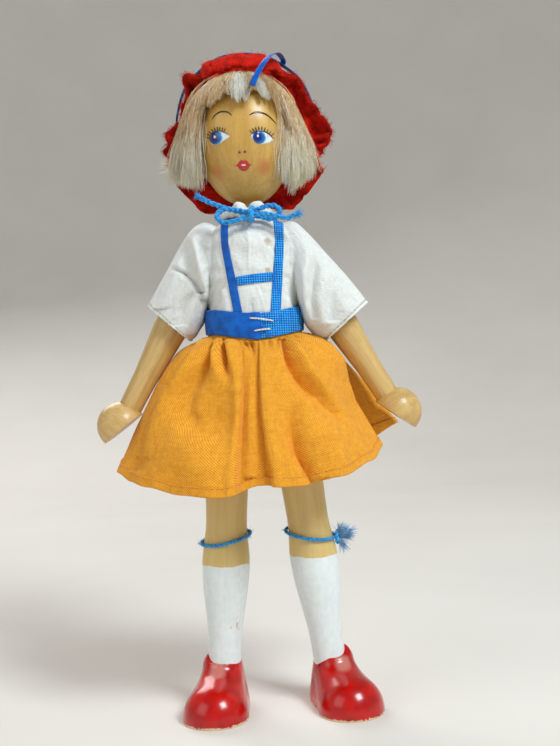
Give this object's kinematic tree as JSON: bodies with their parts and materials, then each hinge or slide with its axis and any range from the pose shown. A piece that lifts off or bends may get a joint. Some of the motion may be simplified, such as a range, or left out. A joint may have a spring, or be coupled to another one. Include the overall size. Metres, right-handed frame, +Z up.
{
  "type": "jointed wooden doll",
  "caption": "Standing turned-wood doll with nailed arms, pinned legs and a turning head, dressed in a felt hat, cotton blouse, ribbon braces, gathered skirt and red clogs.",
  "frame": {"origin": "on the floor below the middle of the standing doll", "axes": "+Z up along the body, the face looks along -Y, +X is to the viewer's right"},
  "size_m": [0.0934, 0.053, 0.1905],
  "materials": {
    "turned_wood": "clear varnish, satin",
    "blond_hair": "combed mohair",
    "red_felt": "brushed wool felt",
    "blue_ribbon": "embossed satin ribbon",
    "white_cotton": "plain weave cotton",
    "blue_wool": "two-ply wool yarn",
    "white_thread": "sewing thread",
    "orange_cotton": "slubby plain weave cotton",
    "steel_wire": "plain drawn wire",
    "red_enamel": "gloss red enamel on wood"
  },
  "bodies": {
    "torso": {"torso": "turned_wood", "blouse_body": "white_cotton", "collar": "white_cotton", "neck_tie": "blue_wool", "left_strap": "blue_ribbon", "right_strap": "blue_ribbon", "cross_strap": "blue_ribbon", "belt": "blue_ribbon", "belt_stitches": "white_thread", "skirt": "orange_cotton", "left_shoulder_nail": "steel_wire", "right_shoulder_nail": "steel_wire", "hip_axle": "steel_wire"},
    "head": {"head": "turned_wood", "neck_dowel": "turned_wood", "hair": "blond_hair", "back_hair": "blond_hair", "hat_brim": "red_felt", "hat_crown": "red_felt", "hat_band": "blue_ribbon"},
    "left_arm": {"left_arm": "turned_wood", "left_hand": "turned_wood", "left_sleeve": "white_cotton"},
    "right_arm": {"right_arm": "turned_wood", "right_hand": "turned_wood", "right_sleeve": "white_cotton"},
    "left_leg": {"left_leg": "turned_wood", "left_shoe": "red_enamel", "left_garter": "blue_wool"},
    "right_leg": {"right_leg": "turned_wood", "right_shoe": "red_enamel", "right_garter": "blue_wool"}
  },
  "joints": [
    {"name": "neck_turn", "type": "hinge", "parent": "torso", "child": "head", "pos_m": [0, 0, 0.1425], "axis": [0, 0, 1], "range_deg": [-75, 75]},
    {"name": "left_shoulder", "type": "hinge", "parent": "torso", "child": "left_arm", "pos_m": [-0.013, 0, 0.129], "axis": [-1, 0, 0], "range_deg": [-60, 140]},
    {"name": "right_shoulder", "type": "hinge", "parent": "torso", "child": "right_arm", "pos_m": [0.013, 0, 0.129], "axis": [-1, 0, 0], "range_deg": [-60, 140]},
    {"name": "left_hip", "type": "hinge", "parent": "torso", "child": "left_leg", "pos_m": [-0.0091, 0, 0.084], "axis": [-1, 0, 0], "range_deg": [-30, 38]},
    {"name": "right_hip", "type": "hinge", "parent": "torso", "child": "right_leg", "pos_m": [0.0091, 0, 0.084], "axis": [-1, 0, 0], "range_deg": [-30, 38]}
  ]
}
